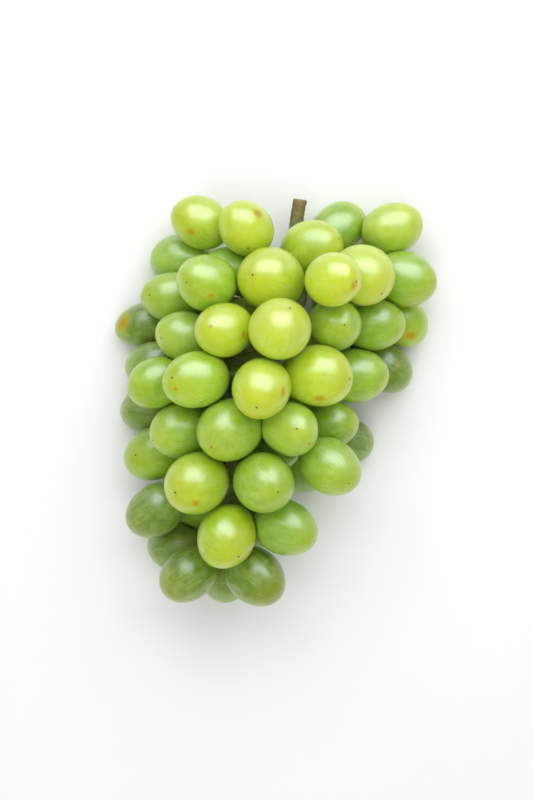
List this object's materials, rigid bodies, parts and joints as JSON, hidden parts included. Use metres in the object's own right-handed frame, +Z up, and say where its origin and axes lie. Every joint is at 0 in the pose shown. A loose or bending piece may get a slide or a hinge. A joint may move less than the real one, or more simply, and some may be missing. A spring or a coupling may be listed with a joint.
{
  "type": "bunch of grapes",
  "caption": "Bunch of large green table grapes lying on its back: round, waxy berries on the swollen ends of one branching green stem with a short cut end.",
  "frame": {"origin": "on the surface the bunch lies on, under the middle of its bounding box", "axes": "+Y along the bunch towards the cut end of the stem, +Z up from the surface it lies on, +X across the bunch to the right when seen from above with the stem at the top"},
  "size_m": [0.1288, 0.1652, 0.0759],
  "materials": {
    "skin_golden": "ripe yellow-green grape skin, thin and translucent, glossy under a faint waxy bloom",
    "skin_green": "fresh green grape skin, thin and translucent, glossy under a faint waxy bloom",
    "skin_olive": "duller olive-green grape skin with russet patches, under a waxy bloom",
    "stem": "green bark turning brown, ribbed, with small pale warts at the berry ends"
  },
  "bodies": {
    "root": {"stem": "stem", "berry_01": "skin_golden", "berry_02": "skin_golden", "berry_03": "skin_green", "berry_04": "skin_green", "berry_05": "skin_golden", "berry_06": "skin_green", "berry_07": "skin_green", "berry_08": "skin_golden", "berry_09": "skin_green", "berry_10": "skin_golden", "berry_11": "skin_golden", "berry_12": "skin_green", "berry_13": "skin_green", "berry_14": "skin_olive", "berry_15": "skin_green", "berry_16": "skin_golden", "berry_17": "skin_golden", "berry_18": "skin_green", "berry_19": "skin_green", "berry_20": "skin_green", "berry_21": "skin_olive", "berry_22": "skin_green", "berry_23": "skin_golden", "berry_24": "skin_golden", "berry_25": "skin_green", "berry_26": "skin_green", "berry_27": "skin_olive", "berry_28": "skin_green", "berry_29": "skin_green", "berry_30": "skin_green", "berry_31": "skin_golden", "berry_32": "skin_golden", "berry_33": "skin_green", "berry_34": "skin_green", "berry_35": "skin_green", "berry_36": "skin_green", "berry_37": "skin_olive", "berry_38": "skin_green", "berry_39": "skin_green", "berry_40": "skin_green", "berry_41": "skin_green", "berry_42": "skin_green", "berry_43": "skin_green", "berry_44": "skin_green", "berry_45": "skin_olive", "berry_46": "skin_golden", "berry_47": "skin_olive", "berry_48": "skin_green", "berry_49": "skin_green", "berry_50": "skin_green", "berry_51": "skin_green", "berry_52": "skin_green", "berry_53": "skin_golden", "berry_54": "skin_green", "berry_55": "skin_green", "berry_56": "skin_olive", "berry_57": "skin_olive", "berry_58": "skin_olive", "berry_59": "skin_olive"}
  },
  "joints": []
}
